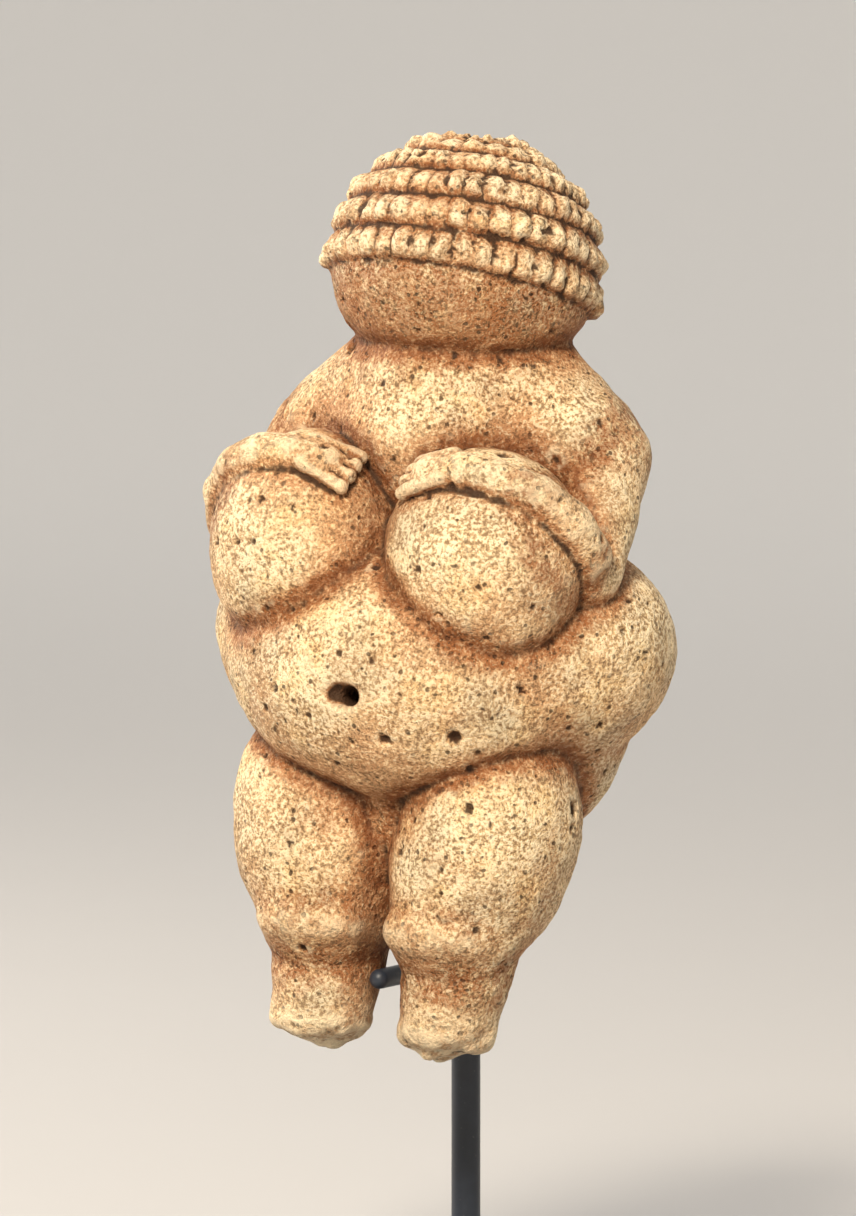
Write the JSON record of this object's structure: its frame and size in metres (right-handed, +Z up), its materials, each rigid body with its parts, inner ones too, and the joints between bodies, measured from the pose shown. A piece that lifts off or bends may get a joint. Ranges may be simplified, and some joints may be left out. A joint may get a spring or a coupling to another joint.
{
  "type": "venus figurine",
  "caption": "Small carved limestone figure of a full-bodied woman with a beaded cap and blunt leg ends, held upright by a slim steel rod and yoke on a square foot.",
  "frame": {"origin": "middle of the foot's underside, on the surface that it stands on", "axes": "+Z up, the figurine faces -Y, +X to the figurine's left"},
  "size_m": [0.072, 0.072, 0.1503],
  "materials": {
    "limestone": "matt, grainy and worn, with ochre in the creases",
    "rod_steel": "satin blue-black",
    "foot_steel": "matt black"
  },
  "bodies": {
    "root": {"figurine": "limestone", "mount_rod": "rod_steel", "mount_foot": "foot_steel"}
  },
  "joints": []
}
